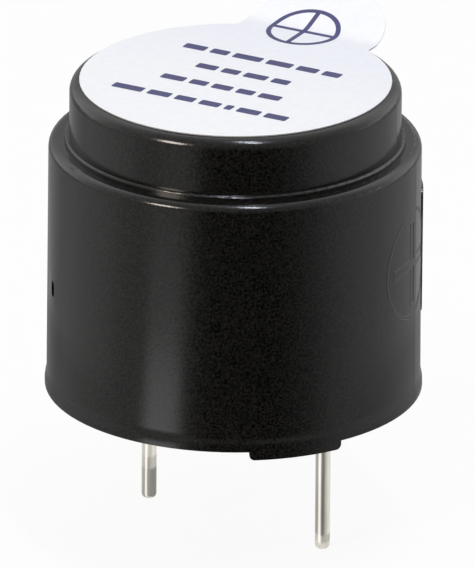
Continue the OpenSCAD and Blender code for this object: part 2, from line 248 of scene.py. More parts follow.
# %% The softboxes
def softbox(name, azimuth, elevation, distance, width, height, watts, colour):
    """A rectangular lamp that faces the case; azimuth is from the camera towards the right."""
    data = bpy.data.lights.new(name, "AREA")
    data.shape = "RECTANGLE"
    data.size, data.size_y = width, height
    data.energy = watts
    data.color = linear(colour)[:3]
    lamp = bpy.data.objects.new(name, data)
    bpy.context.scene.collection.objects.link(lamp)
    a = view_azimuth + math.radians(azimuth)
    e = math.radians(elevation)
    away = Vector((math.sin(a) * math.cos(e), -math.cos(a) * math.cos(e), math.sin(e)))
    lamp.location = rim + away * distance
    lamp.rotation_mode = "QUATERNION"
    lamp.rotation_quaternion = (-away).to_track_quat("-Z", "Y")
    lamp.visible_camera = False
    print(name, "at", [round(v / MM) for v in lamp.location], "mm")


softbox("warm softbox", azimuth=-44.5, elevation=22, distance=0.40, width=0.10, height=0.10,
        watts=0.64, colour="#fff3e6")
softbox("cool softbox", azimuth=20, elevation=70, distance=0.45, width=0.02, height=0.20,
        watts=0.6, colour="#ecf1ff")

# %% [markdown]
# A shiny thing shows mostly what stands around it. Graded cards stand round the part, out of the
# camera's sight and seen only in the gloss: dark in front, where a studio is dark behind the
# camera, a narrow bright strip on the left, and greys beyond. The wall of the case is seen from
# above, so it mirrors the floor, and its cards lie flat, in rings. Each pin mirrors what is close
# to it, so its cards are rolled round it like a sleeve, in bands, since its greys change with
# height. The numbers are pairs of an angle round the thing and how bright the card is there.

# %% Cards that only the gloss sees
def gloss_only(obj):
    """Hides a thing from all but mirror light."""
    obj.visible_camera = obj.visible_diffuse = obj.visible_shadow = False
    obj.visible_transmission = obj.visible_volume_scatter = False


def draw_curve(node, points):
    """Lays a curve node's line through (place, height) points, each between 0 and 1."""
    curve = node.mapping.curves[0]
    while len(curve.points) < len(points):
        curve.points.new(0.5, 0.5)
    for point, spot in zip(curve.points, points):
        point.location = spot
        point.handle_type = "AUTO_CLAMPED"
    node.mapping.update()


# %% A ring of cards
strongest = 2.0


def cards(name, centre, inner, outer, tones):
    """A ring between two circles, (radius, height over the floor), whose glow follows (azimuth,
    tone) pairs, from the camera towards the right."""
    mesh = bmesh.new()
    for radius, height in (inner, outer):
        circle = bmesh.ops.create_circle(mesh, segments=96, radius=radius)["verts"]
        bmesh.ops.translate(mesh, verts=circle, vec=centre + Vector((0, 0, floor_z + height)))
    bmesh.ops.bridge_loops(mesh, edges=mesh.edges[:])
    ring = set_down(mesh, name)
    gloss_only(ring)

    paint, tree, place = blank_material(name + " paint")
    centred = add(tree, "Mapping", {"Vector": place, "Location": -centre})
    turned = add(tree, "Mapping", {"Vector": centred, "Rotation": (0, 0, -view_azimuth)})
    spot = add(tree, "SeparateXYZ", {"Vector": turned}).outputs
    back = add(tree, "Math", {0: spot["Y"], 1: -1.0}, operation="MULTIPLY")
    angle = add(tree, "Math", {0: spot["X"], 1: back}, operation="ARCTAN2")
    along = add(tree, "MapRange", {"Value": angle, "From Min": -math.pi, "From Max": math.pi})
    grey = add(tree, "FloatCurve", {"Value": along})
    draw_curve(grey, [((azimuth + 180) / 360, tone / strongest) for azimuth, tone in tones])
    strength = add(tree, "Math", {0: grey, 1: strongest}, operation="MULTIPLY")
    glow = add(tree, "Emission", {"Color": linear("#ffffff"), "Strength": strength})
    add(tree, "OutputMaterial", {"Surface": glow})
    ring.data.materials.append(paint)
    print(name, "hold", len(tones), "tones")


# %% Set the cards out
card_lift = 0.1 * MM
side_from = 70
for name, inner, outer, strip, sides in [
        ("near", 19, 30, 1.70, 0.75), ("next", 30, 36, 1.50, 1.0), ("middle", 36, 50, 0.70, 1.0),
        ("far", 50, 600, 0.45, 1.0)]:
    tones = [(-180, 0.40), (-130, 0.36), (-110, 0.52), (-85, 0.60), (-62, 0.42), (-54, 0.40),
             (-44, strip), (-37, strip), (-27, 0.34), (-18, 0.06), (-8, 0.0), (16, 0.0), (34, 0.08),
             (46, 0.22), (60, 0.43), (80, 0.60), (100, 0.62), (130, 0.48), (180, 0.40)]
    tones = [(azimuth, tone * sides if abs(azimuth) > side_from else tone)
             for azimuth, tone in tones]
    cards(name + " case cards", case_axis, (inner * MM, card_lift), (outer * MM, card_lift), tones)

# %% Roll cards round the pins
sleeve_r = 1.0 * MM
sleeve_foot = 0.05 * MM
dull_end, mixed_end = 2.62 * MM, 3.17 * MM
bright_end = 0.4 * MM
for node, name, low, high, tones in [
        ("negative_pin", "lower", sleeve_foot, dull_end,
         [(-180, 0.80), (-95, 0.60), (-68, 0.52), (-55, 0.90), (-48, 1.50), (-36, 1.50),
          (-27, 0.85), (-14, 0.50), (0, 0.44), (14, 0.38), (27, 0.36), (95, 0.38), (120, 0.50),
          (180, 0.80)]),
        ("negative_pin", "middle", dull_end, mixed_end,
         [(-180, 0.90), (-95, 0.75), (-68, 0.68), (-56, 1.00), (-48, 1.50), (-33, 1.50),
          (-24, 0.92), (-12, 0.60), (0, 0.54), (14, 0.62), (27, 0.70), (56, 0.74), (95, 0.75),
          (180, 0.95)]),
        ("negative_pin", "upper", mixed_end, -floor_z,
         [(-180, 1.00), (-95, 0.83), (-68, 0.78), (-56, 1.10), (-48, 1.50), (-31, 1.50),
          (-22, 1.10), (-12, 0.92), (0, 0.82), (14, 0.78), (27, 0.88), (56, 1.05), (95, 1.05),
          (180, 1.10)]),
        ("positive_pin", "lower", sleeve_foot, bright_end,
         [(-180, 0.80), (-114, 0.80), (-88, 0.85), (-68, 0.90), (-60, 1.20), (-51, 1.50),
          (-30, 1.50), (-22, 0.95), (-9, 0.66), (3, 0.54), (17, 0.55), (32, 0.62), (62, 0.75),
          (80, 0.72), (102, 0.66), (180, 0.80)]),
        ("positive_pin", "upper", bright_end, -floor_z,
         [(-180, 0.80), (-114, 0.57), (-88, 0.54), (-68, 0.66), (-60, 1.00), (-51, 1.45),
          (-34, 1.45), (-26, 0.80), (-19, 0.45), (-9, 0.30), (3, 0.22), (17, 0.36), (32, 0.58),
          (62, 0.95), (80, 1.10), (102, 1.08), (180, 0.80)])]:
    pin_from, pin_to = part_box(node)
    middle = Vector(((pin_from.x + pin_to.x) / 2, (pin_from.y + pin_to.y) / 2, 0))
    cards(node + " " + name + " cards", middle, (sleeve_r, low), (sleeve_r, high), tones)

# %% [markdown]
# The cards leave the sky. A black thing stands out from a white room because the room is not
# white all round it: the side that the camera is on is dark. A light tent is the usual answer, a
# dome of cloth with a dark front. Here it is a sphere that shows only in the gloss, and its glow
# follows the angle from the camera's side: dark in front, brightest overhead and behind.

# %% The light tent
tent_r = 0.62
brightest = 1.5
tent_mesh = bmesh.new()
bmesh.ops.create_icosphere(tent_mesh, subdivisions=4, radius=tent_r)
bmesh.ops.translate(tent_mesh, verts=tent_mesh.verts, vec=case_axis)
tent = set_down(tent_mesh, "light tent")
gloss_only(tent)

cloth, tree, place = blank_material("Light tent cloth")
outward = add(tree, "VectorMath", {0: place}, operation="NORMALIZE")
front = (math.sin(view_azimuth), -math.cos(view_azimuth), 0)
facing = add(tree, "VectorMath", {0: outward, 1: front}, operation="DOT_PRODUCT").outputs["Value"]
shade = add(tree, "MapRange", {"Value": facing, "From Min": -1.0, "From Max": 1.0})
grey = add(tree, "FloatCurve", {"Value": shade})
tent_tones = [(-1, 0.5), (-0.95, 0.5), (-0.84, 0.8), (-0.5, 1.4), (-0.17, 0.95), (0.17, 0.65),
              (0.5, 0.42), (0.77, 0.33), (0.94, 0.2), (1, 0.1)]
draw_curve(grey, [((cosine + 1) / 2, tone / brightest) for cosine, tone in tent_tones])
strength = add(tree, "Math", {0: grey, 1: brightest}, operation="MULTIPLY")
glow = add(tree, "Emission", {"Color": linear("#ffffff"), "Strength": strength})
add(tree, "OutputMaterial", {"Surface": glow})
tent.data.materials.append(cloth)
print("tent tones:", len(tent_tones))

# %% [markdown]
# ## Case plastic
# The case is injection-moulded ABS, black all through, from a mould with a fine satin grain. It
# could be a flat dark colour, but the eye reads black plastic by its soft reflections, so the
# grain and the slight unevenness of the gloss are what matter. The grain of such a mould is a
# few hundredths of a millimetre and is drawn at about a tenth, so that it shows. Fine specks in
# the black keep the darkest side from looking empty.

# %% Moulded black ABS
case_plastic, tree, place = blank_material("Moulded black ABS, satin")
cloud = add(tree, "TexNoise", {"Vector": place, "Scale": 1 / (2.5 * MM), "Detail": 3.0})
grit = add(tree, "TexNoise", {"Vector": place, "Scale": 1 / (0.12 * MM), "Detail": 2.0})
speck = add(tree, "TexNoise", {"Vector": place, "Scale": 1 / (0.08 * MM), "Detail": 1.0})
black = add(tree, "ValToRGB", {"Fac": speck}, stops=[(0.38, "#030303"), (0.64, "#1b1a18")])
gloss = add(tree, "MapRange", {"Value": cloud, "From Min": 0.3, "From Max": 0.7,
                               "To Min": 0.15, "To Max": 0.19})
bump = add(tree, "Bump", {"Height": grit, "Distance": 0.005 * MM, "Strength": 0.5})
add(tree, "OutputMaterial", {"Surface": add(tree, "BsdfPrincipled", {
    "Base Color": black, "Roughness": gloss, "Normal": bump, "IOR": 1.5})})
coat(case_plastic, "housing")

# %% [markdown]
# ## Wash seal
# The seal is a white polyester film with an adhesive back, die-cut into a disc with a lifted
# tab. It is matt, faintly blue as optical white is, and very slightly uneven. Towards the crease
# of the tab it is a trace greyer, and the tab a little less so, which is painted shade. Its cut
# edge is painted grey, partly for the grey adhesive and partly as painted shade, which draws a
# fine line round the disc.

# %% White polyester film
film_thickness = 0.06 * MM
seal_film, tree, place = blank_material("White polyester film")
pulp = add(tree, "TexNoise", {"Vector": place, "Scale": 1 / (0.35 * MM), "Detail": 3.0})
film_white = add(tree, "ValToRGB", {"Fac": pulp}, stops=[(0.3, "#f6f8f9"), (0.7, "#fafcfd")])
tab_way = (math.cos(tab_turn), math.sin(tab_turn), 0)
fade_reach = 8 * MM
from_axis = add(tree, "VectorMath", {0: place, 1: case_axis}, operation="SUBTRACT")
toward_tab = add(tree, "VectorMath", {0: from_axis, 1: tab_way}, operation="DOT_PRODUCT")
painted_shade_toward_tab = add(tree, "MapRange", {"Value": toward_tab.outputs["Value"], "From Min": -fade_reach,
                                "From Max": fade_reach})
# Painted shade: the film turns a trace greyer towards the crease of the tab, and the tab stays a
# little dimmed.
shade = add(tree, "ValToRGB", {"Fac": painted_shade_toward_tab},
            stops=[(0.1, "#ffffff"), (0.5, "#fdfdff"), (0.75, "#f9f9fe"), (0.88, "#f7f7fd"),
                   (0.94, "#fafafc")])
film_with_painted_shade = add(tree, "Mix", {0: 1.0, 6: film_white, 7: shade}, data_type="RGBA",
             blend_type="MULTIPLY").outputs[2]
height = add(tree, "SeparateXYZ", {"Vector": place}).outputs["Z"]
# The cut edge is painted grey: partly the grey adhesive, partly painted shade where the edge lies
# in shade.
edge_adhesive_and_shade = add(tree, "MapRange", {"Value": height, "To Min": 1.0, "To Max": 0.0,
                                 "From Min": case_top + 0.7 * film_thickness,
                                 "From Max": case_top + 0.9 * film_thickness})
film_colour = add(tree, "Mix", {0: edge_adhesive_and_shade, 6: film_with_painted_shade, 7: linear("#8f8f90")}, data_type="RGBA")
bump = add(tree, "Bump", {"Height": pulp, "Distance": 0.003 * MM, "Strength": 0.3})
add(tree, "OutputMaterial", {"Surface": add(tree, "BsdfPrincipled", {
    "Base Color": film_colour.outputs[2], "Roughness": 0.5, "Normal": bump, "IOR": 1.45})})
coat(seal_film, "wash_seal")

# %% [markdown]
# ## Print on the seal
# The disc carries four short rows of print, and a circle with a plus in it, which marks the
# positive side, lies across the crease of the tab. The rows are set as plain dashes, as a
# printer blocks in copy, and the sign is drawn. A row is given by its left, right, low and high
# ends in millimetres, and then by how wide its dashes are next to one another. Each shape is cut
# flat, as a very thin solid, and what lies past the crease is then rolled up with the tab.
# Screen ink goes on through a mesh, so its navy is a little patchy and its gloss uneven.

# %% Navy ink
ink, tree, place = blank_material("Navy screen ink")
coverage = add(tree, "TexNoise", {"Vector": place, "Scale": 1 / (0.12 * MM), "Detail": 3.0})
navy = add(tree, "ValToRGB", {"Fac": coverage}, stops=[(0.3, "#33345f"), (0.7, "#454680")])
dull = add(tree, "MapRange", {"Value": coverage, "From Min": 0.3, "From Max": 0.7,
                              "To Min": 0.38, "To Max": 0.5})
add(tree, "OutputMaterial", {"Surface": add(tree, "BsdfPrincipled", {
    "Base Color": navy, "Roughness": dull, "IOR": 1.48})})
print("mixed", ink.name)

# %% Where the print lies
film_top = case_top + film_thickness
print_turn = math.radians(75.9)
crease = 6.23 * MM
bend_r = 2.0 * MM
bend_lift = math.radians(19.5)
ink_t = 0.01 * MM
print("film top at", round(film_top / MM, 3), "mm")


# %% Thicken, and roll up with the tab
def thicken(mesh, thickness):
    """Makes a flat shape in the XY plane a thin solid, half above the plane and half below."""
    walls = bmesh.ops.extrude_face_region(mesh, geom=mesh.faces[:])
    upper = [e for e in walls["geom"] if isinstance(e, bmesh.types.BMVert)]
    bmesh.ops.translate(mesh, verts=upper, vec=(0, 0, thickness / 2))
    bmesh.ops.translate(mesh, verts=[v for v in mesh.verts if v not in set(upper)],
                        vec=(0, 0, -thickness / 2))


def on_seal(point):
    """Turns a point of the flat print, with Y up the print, to its place on the bent film."""
    turned = Matrix.Rotation(print_turn - math.pi / 2, 3, "Z") @ point
    along = Vector((math.cos(tab_turn), math.sin(tab_turn), 0))
    past = turned.dot(along) - crease
    if past > 0:
        angle = min(past / bend_r, bend_lift)
        run = past - angle * bend_r
        r = bend_r - turned.z
        flat = r * math.sin(angle) + run * math.cos(angle) - past
        turned = turned + along * flat
        turned.z = bend_r - r * math.cos(angle) + run * math.sin(angle)
    return case_axis + Vector((0, 0, film_top)) + turned


# %% The rows of dashes
rows = [(-3.80, 3.67, 1.85, 3.11, (1.0, 0.8, 1.3, 1.15, 0.95, 0.8)),
        (-2.22, 2.19, 0.07, 1.30, (0.95, 0.8, 1.05, 0.8)),
        (-2.92, 2.75, -1.73, -0.49, (1.1, 0.8, 0.9, 0.8, 1.0)),
        (-4.19, 4.11, -3.67, -2.40, (1.5, 1.1, 0.95, 1.0, 0.35, 1.1, 1.1))]
gap = 0.26
dash_h = 0.5
dash_corner = 0.08
print_mesh = bmesh.new()
for left, right, low, high, widths in rows:
    unit = (right - left - gap * (len(widths) - 1)) / sum(widths)
    x = left
    for width in widths:
        dash = bmesh.ops.create_grid(print_mesh, x_segments=1, y_segments=1, size=0.5)["verts"]
        bmesh.ops.scale(print_mesh, verts=dash, vec=(width * unit * MM, dash_h * MM, 1))
        bmesh.ops.translate(print_mesh, verts=dash,
                            vec=((x + width * unit / 2) * MM, (low + high) / 2 * MM, 0))
        x += width * unit + gap
bmesh.ops.bevel(print_mesh, geom=print_mesh.verts[:], offset=dash_corner * MM, segments=3,
                profile=0.5, affect="VERTICES", material=-1)
print("dashes:", sum(len(row[4]) for row in rows))

# %% The circled plus on the tab
sign_x, sign_y = -0.2, 6.36
sign_r, sign_line, sign_arm = 1.59, 0.21, 1.4


def ring(mesh, outer, line, segments):
    """A flat ring about the origin."""
    loops = [bmesh.ops.create_circle(mesh, segments=segments, radius=radius)["verts"]
             for radius in (outer, outer - line)]
    edges = [e for e in mesh.edges if all(v in loops[0] or v in loops[1] for v in e.verts)]
    bmesh.ops.bridge_loops(mesh, edges=edges)
    return loops[0] + loops[1]


sign_verts = ring(print_mesh, sign_r * MM, sign_line * MM, 128)
for turn in (0, 1):
    bar = bmesh.ops.create_grid(print_mesh, x_segments=28, y_segments=2, size=0.5)["verts"]
    bmesh.ops.scale(print_mesh, verts=bar, vec=(2 * sign_arm * MM, sign_line * MM, 1))
    bmesh.ops.rotate(print_mesh, verts=bar, matrix=Matrix.Rotation(turn * math.pi / 2, 3, "Z"))
    sign_verts += bar
bmesh.ops.translate(print_mesh, verts=sign_verts, vec=(sign_x * MM, sign_y * MM, 0))
thicken(print_mesh, 2 * ink_t)
for vert in print_mesh.verts:
    vert.co = on_seal(vert.co)
keep(print_mesh, "seal_print", ink, smooth=False)

# %% [markdown]
# ## Moulded signs on the wall
# The mould also marks the positive side on the wall: a raised circle with the outline of a plus
# in it, and next to it, further round, a blank raised pad. The lines stand up by a hundredth of
# a millimetre, with soft edges, and the pad by five times that. They could be bump only, but the
# pad shows in the outline of the case, so all are shapes: drawn flat and then wrapped round the
# wall, which tapers a little. The lines were cut into the mould by a spark, so they are rougher.
# Their grey colour is painted sheen, which stands in for the light that their matt face catches.

# %% Measure the tapering wall
foot_z, head_z = 1.1 * MM, 11.0 * MM
taper_room = 0.3 * MM
outline = [(vert.co.z, (vert.co - case_axis).to_2d().length)
           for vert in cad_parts["housing"].data.vertices]
on_wall = [(z, r) for z, r in outline if abs(r - case_r) < taper_room]
wall_foot = min(on_wall, key=lambda level: abs(level[0] - foot_z))
wall_head = min(on_wall, key=lambda level: abs(level[0] - head_z))
for name, (z, r) in (("foot", wall_foot), ("head", wall_head)):
    print("the wall's", name, "is at", round(z / MM, 2), "mm, with radius", round(r / MM, 3), "mm")


def wall_r(z):
    """The radius of the wall at a height."""
    part = (z - wall_foot[0]) / (wall_head[0] - wall_foot[0])
    return wall_foot[1] * (1 - part) + wall_head[1] * part


# %% Wrap a flat shape round the wall
def wrap(mesh, turn, z, sunk):
    """Wraps a flat shape, X along the wall and Y up it, round the wall; its back is sunk in."""
    for vert in mesh.verts:
        up = z + vert.co.y
        out = wall_r(up) + vert.co.z - sunk
        angle = turn + vert.co.x / case_r
        vert.co = case_axis + Vector((out * math.cos(angle), out * math.sin(angle), up))


corner_angle = 1.0


def raise_shape(mesh, height, soft):
    """Gives a flat shape its height and rounds its upper edges, where faces meet at a corner."""
    walls = bmesh.ops.extrude_face_region(mesh, geom=mesh.faces[:])
    upper = [e for e in walls["geom"] if isinstance(e, bmesh.types.BMVert)]
    bmesh.ops.translate(mesh, verts=upper, vec=(0, 0, height))
    crown = [e for e in mesh.edges if e.is_manifold and all(v.co.z > height / 2 for v in e.verts)
             and e.calc_face_angle(0) > corner_angle]
    bmesh.ops.bevel(mesh, geom=crown, offset=soft, segments=4, profile=0.5, affect="EDGES",
                    material=-1)


def slice_along(mesh, step):
    """Cuts a shape across at even steps, so that it can follow the curve of the wall."""
    low = min(v.co.x for v in mesh.verts)
    high = max(v.co.x for v in mesh.verts)
    for i in range(1, int((high - low) / step) + 1):
        bmesh.ops.bisect_plane(mesh, geom=mesh.verts[:] + mesh.edges[:] + mesh.faces[:], dist=1e-7,
                               plane_co=(low + i * step, 0, 0), plane_no=(1, 0, 0))


# %% Moulded black ABS, spark-cut line
line_plastic, tree, place = blank_material("Moulded black ABS, spark-cut line")
pitted = add(tree, "TexNoise", {"Vector": place, "Scale": 1 / (0.08 * MM), "Detail": 3.0})
# The grey of the lines is painted sheen: it stands in for the light that their matt face catches.
painted_sheen_grey = add(tree, "ValToRGB", {"Fac": pitted}, stops=[(0.3, "#2a2a29"), (0.7, "#333331")])
dull = add(tree, "MapRange", {"Value": pitted, "From Min": 0.3, "From Max": 0.7,
                              "To Min": 0.3, "To Max": 0.4})
bump = add(tree, "Bump", {"Height": pitted, "Distance": 0.004 * MM, "Strength": 0.5})
add(tree, "OutputMaterial", {"Surface": add(tree, "BsdfPrincipled", {
    "Base Color": painted_sheen_grey, "Roughness": dull, "Normal": bump, "IOR": 1.5})})
print("mixed", line_plastic.name)

# %% The raised circle with a plus
sign_turn = math.radians(-4.1)
sign_z = 6.79 * MM
sign_sunk = 0.08 * MM
sign_proud = 0.012 * MM
sign_soft = 0.06 * MM
moulded_r, moulded_line = 2.44, 0.2
moulded_ring = bmesh.new()
ring(moulded_ring, moulded_r * MM, moulded_line * MM, 120)
raise_shape(moulded_ring, sign_sunk + sign_proud, sign_soft)
wrap(moulded_ring, sign_turn, sign_z, sign_sunk)
keep(moulded_ring, "moulded_circle", line_plastic)

# %% The outline of the plus
arm_long, arm_half, plus_line = 1.9, 0.275, 0.14
plus_step = 0.2 * MM
plus = bmesh.new()
bmesh.ops.create_grid(plus, x_segments=3, y_segments=3, size=1.5)
for vert in plus.verts:
    for axis in (0, 1):
        across = vert.co[axis]
        vert.co[axis] = math.copysign(arm_long if abs(across) > 1 else arm_half, across) * MM
corners = [f for f in plus.faces
           if min(abs(f.calc_center_median()[a]) for a in (0, 1)) > arm_half * MM]
bmesh.ops.delete(plus, geom=corners, context="FACES")
bmesh.ops.dissolve_faces(plus, faces=plus.faces[:])
middle = plus.faces[:]
bmesh.ops.inset_region(plus, faces=middle, thickness=plus_line * MM, use_boundary=True,
                       use_even_offset=True)
bmesh.ops.delete(plus, geom=middle, context="FACES_ONLY")
slice_along(plus, plus_step)
raise_shape(plus, sign_sunk + sign_proud, sign_soft)
wrap(plus, sign_turn, sign_z, sign_sunk)
keep(plus, "moulded_plus", line_plastic)

# %% The blank pad
pad_w, pad_h = 6.2 * MM, 5.69 * MM
pad_z = 6.42 * MM
pad_start = math.radians(13)
pad_corner = 0.5 * MM
pad_step = 0.25 * MM
pad_proud, pad_soft, pad_lean = 0.055 * MM, 0.03 * MM, 0.015 * MM
pad = bmesh.new()
bmesh.ops.create_grid(pad, x_segments=1, y_segments=1, size=0.5)
bmesh.ops.scale(pad, verts=pad.verts, vec=(pad_w, pad_h, 1))
bmesh.ops.bevel(pad, geom=pad.verts[:], offset=pad_corner, segments=5, profile=0.5,
                affect="VERTICES", material=-1)
slice_along(pad, pad_step)
raise_shape(pad, sign_sunk + pad_proud, pad_soft)
for vert in pad.verts:
    if vert.co.z > sign_sunk:
        vert.co.z += pad_lean * vert.co.y / (pad_h / 2)
wrap(pad, pad_start + pad_w / 2 / case_r, pad_z, sign_sunk)
keep(pad, "blank_pad", case_plastic)

# %% [markdown]
# ## Pins
# The pins are copper-clad wire, hot-dipped in tin. Dipped tin is bright and slightly wavy along
# the wire, so it mirrors the room in long, uneven streaks. A metal's colour is in its mirror, so
# it is metallic, and the waves are noise drawn out ten times along the pin.

# %% Hot-tinned wire
tinned_wire, tree, place = blank_material("Hot-tinned wire")
wave_across, wave_along = 1 / (0.22 * MM), 1 / (2.2 * MM)
drawn = add(tree, "Mapping", {"Vector": place, "Scale": (wave_across, wave_across, wave_along)})
streak = add(tree, "TexNoise", {"Vector": drawn, "Scale": 1.0, "Detail": 3.0})
tin = add(tree, "ValToRGB", {"Fac": streak}, stops=[(0.3, "#c9c5ba"), (0.7, "#dedbd3")])
polish = add(tree, "MapRange", {"Value": streak, "From Min": 0.3, "From Max": 0.7,
                                "To Min": 0.12, "To Max": 0.22})
bump = add(tree, "Bump", {"Height": streak, "Distance": 0.012 * MM, "Strength": 0.3})
add(tree, "OutputMaterial", {"Surface": add(tree, "BsdfPrincipled", {
    "Base Color": tin, "Roughness": polish, "Normal": bump, "Metallic": 1.0})})
coat(tinned_wire, "positive_pin", "negative_pin")

# %% [markdown]
# ## Resin
# Black epoxy is poured into the upturned case and closes it round the pins. It sets with a
# glossy face that is a little wavy, with a few fine bubbles just under it.

# %% Cast black epoxy
resin, tree, place = blank_material("Cast black epoxy")
swell = add(tree, "TexNoise", {"Vector": place, "Scale": 1 / (3 * MM), "Detail": 2.0})
speck = add(tree, "TexVoronoi", {"Vector": place, "Scale": 1 / (0.5 * MM)})
bubbled = add(tree, "ValToRGB", {"Fac": speck}, stops=[(0.04, "#24262a"), (0.09, "#0f1114")])
polish = add(tree, "MapRange", {"Value": swell, "From Min": 0.3, "From Max": 0.7,
                                "To Min": 0.14, "To Max": 0.24})
bump = add(tree, "Bump", {"Height": swell, "Distance": 0.15 * MM, "Strength": 0.4})
add(tree, "OutputMaterial", {"Surface": add(tree, "BsdfPrincipled", {
    "Base Color": bubbled, "Roughness": polish, "Normal": bump, "IOR": 1.55})})
coat(resin, "sealing_resin")

# %% [markdown]
# ## Inner metals
# Inside, a disc of thin nickel-iron sheet carries an armature over an iron core, which is
# riveted to a yoke plate. Rolled sheet shows fine lines all one way, pressed steel under a zinc
# flash has soft mottled patches, and a turned core has rings. Solder freezes in small grains, so
# it is bright with a faint frost. One pattern could do for all, but each is told apart by how it
# was made.

# %% Rolled nickel-iron sheet
sheet_metal, tree, place = blank_material("Rolled nickel-iron sheet")
line_along, line_across = 1 / (4 * MM), 1 / (0.08 * MM)
rolled = add(tree, "Mapping", {"Vector": place, "Scale": (line_along, line_across, line_across)})
line = add(tree, "TexNoise", {"Vector": rolled, "Scale": 1.0, "Detail": 2.0})
pale = add(tree, "ValToRGB", {"Fac": line}, stops=[(0.3, "#b4b7bb"), (0.7, "#c6c9cc")])
brushed = add(tree, "MapRange", {"Value": line, "From Min": 0.3, "From Max": 0.7,
                                 "To Min": 0.24, "To Max": 0.36})
add(tree, "OutputMaterial", {"Surface": add(tree, "BsdfPrincipled", {
    "Base Color": pale, "Roughness": brushed, "Metallic": 1.0})})
coat(sheet_metal, "diaphragm")

# %% Pressed mild steel
pressed_steel, tree, place = blank_material("Pressed mild steel, zinc flash")
patch = add(tree, "TexNoise", {"Vector": place, "Scale": 1 / (0.8 * MM), "Detail": 4.0})
zinc = add(tree, "ValToRGB", {"Fac": patch}, stops=[(0.3, "#9a9ea3"), (0.7, "#b3b6b8")])
dull = add(tree, "MapRange", {"Value": patch, "From Min": 0.3, "From Max": 0.7,
                              "To Min": 0.32, "To Max": 0.46})
add(tree, "OutputMaterial", {"Surface": add(tree, "BsdfPrincipled", {
    "Base Color": zinc, "Roughness": dull, "Metallic": 1.0})})
coat(pressed_steel, "armature_disc", "yoke_plate")

# %% Turned mild steel
turned_steel, tree, place = blank_material("Turned mild steel")
centred = add(tree, "Mapping", {"Vector": place, "Location": -case_axis})
groove = add(tree, "TexWave", {"Vector": centred, "Scale": 1 / (0.9 * MM), "Distortion": 0.4,
                               "Detail": 1.0},
             wave_type="RINGS", rings_direction="Z").outputs["Fac"]
steel = add(tree, "ValToRGB", {"Fac": groove}, stops=[(0.2, "#8f9397"), (0.8, "#a9acaf")])
cut = add(tree, "MapRange", {"Value": groove, "From Min": 0.3, "From Max": 0.7,
                             "To Min": 0.28, "To Max": 0.4})
add(tree, "OutputMaterial", {"Surface": add(tree, "BsdfPrincipled", {
    "Base Color": steel, "Roughness": cut, "Metallic": 1.0})})
coat(turned_steel, "pole_core")

# %% Tin solder
solder, tree, place = blank_material("Tin solder")
frost = add(tree, "TexVoronoi", {"Vector": place, "Scale": 1 / (0.15 * MM)}, feature="SMOOTH_F1")
tin = add(tree, "ValToRGB", {"Fac": frost}, stops=[(0.1, "#c4c6c8"), (0.6, "#aeb0b2")])
frosted = add(tree, "MapRange", {"Value": frost, "From Min": 0.1, "From Max": 0.6,
                                 "To Min": 0.2, "To Max": 0.38})
add(tree, "OutputMaterial", {"Surface": add(tree, "BsdfPrincipled", {
    "Base Color": tin, "Roughness": frosted, "Metallic": 1.0})})
coat(solder, "pin_solder", "lead_solder")

# %% [markdown]
# ## Coil
# The coil is enamelled copper wire on a nylon bobbin. The enamel is a clear coat over the metal,
# and the turns lie side by side, so a fine wave along the axis stands in for them. The real wire
# is about 0.06 mm thick and is drawn at twice that, so that it shows. At a scale of 1 a wave
# repeats about every third of a metre, so its scale is that width over the wire's.

# %% Enamelled copper winding
wave_width = 0.32
drawn_wire = 0.12 * MM
winding, tree, place = blank_material("Enamelled copper winding")
turns = add(tree, "TexWave", {"Vector": place, "Scale": wave_width / drawn_wire, "Distortion": 0.3},
            wave_type="BANDS", bands_direction="Z").outputs["Fac"]
copper = add(tree, "ValToRGB", {"Fac": turns}, stops=[(0.1, "#8a4a22"), (0.8, "#c87a44")])
drawn = add(tree, "MapRange", {"Value": turns, "From Min": 0.1, "From Max": 0.9,
                               "To Min": 0.3, "To Max": 0.4})
bump = add(tree, "Bump", {"Height": turns, "Distance": 0.03 * MM, "Strength": 0.8})
add(tree, "OutputMaterial", {"Surface": add(tree, "BsdfPrincipled", {
    "Base Color": copper, "Roughness": drawn, "Normal": bump, "Metallic": 1.0,
    "Coat Weight": 0.6, "Coat Roughness": 0.15})})
coat(winding, "drive_winding", "feedback_winding")

# %% Enamelled copper wire
wire, tree, place = blank_material("Enamelled copper wire")
tarnish = add(tree, "TexNoise", {"Vector": place, "Scale": 1 / (0.4 * MM), "Detail": 2.0})
copper = add(tree, "ValToRGB", {"Fac": tarnish}, stops=[(0.3, "#b0632f"), (0.7, "#cb8048")])
drawn = add(tree, "MapRange", {"Value": tarnish, "From Min": 0.3, "From Max": 0.7,
                               "To Min": 0.22, "To Max": 0.32})
add(tree, "OutputMaterial", {"Surface": add(tree, "BsdfPrincipled", {
    "Base Color": copper, "Roughness": drawn, "Metallic": 1.0, "Coat Weight": 0.6,
    "Coat Roughness": 0.12})})
coat(wire, "coil_leads")

# %% [markdown]
# ## Inner plastics and ceramics
# Natural nylon is cream and lets a little light through. The support ring is dark grey PBT, dull
# and nearly even, as it flowed into the mould. The magnet is ferrite powder in a plastic binder,
# which gives a dull dark grey with fine specks.

# %% Natural nylon
nylon, tree, place = blank_material("Natural nylon")
haze = add(tree, "TexNoise", {"Vector": place, "Scale": 1 / (1.2 * MM), "Detail": 2.0})
cream = add(tree, "ValToRGB", {"Fac": haze}, stops=[(0.3, "#d9d0b8"), (0.7, "#e6dfcb")])
waxy = add(tree, "MapRange", {"Value": haze, "From Min": 0.3, "From Max": 0.7,
                              "To Min": 0.38, "To Max": 0.5})
add(tree, "OutputMaterial", {"Surface": add(tree, "BsdfPrincipled", {
    "Base Color": cream, "Roughness": waxy, "IOR": 1.53, "Subsurface Weight": 0.15,
    "Subsurface Radius": (0.4 * MM, 0.3 * MM, 0.2 * MM), "Subsurface Scale": 1.0})})
coat(nylon, "coil_bobbin")

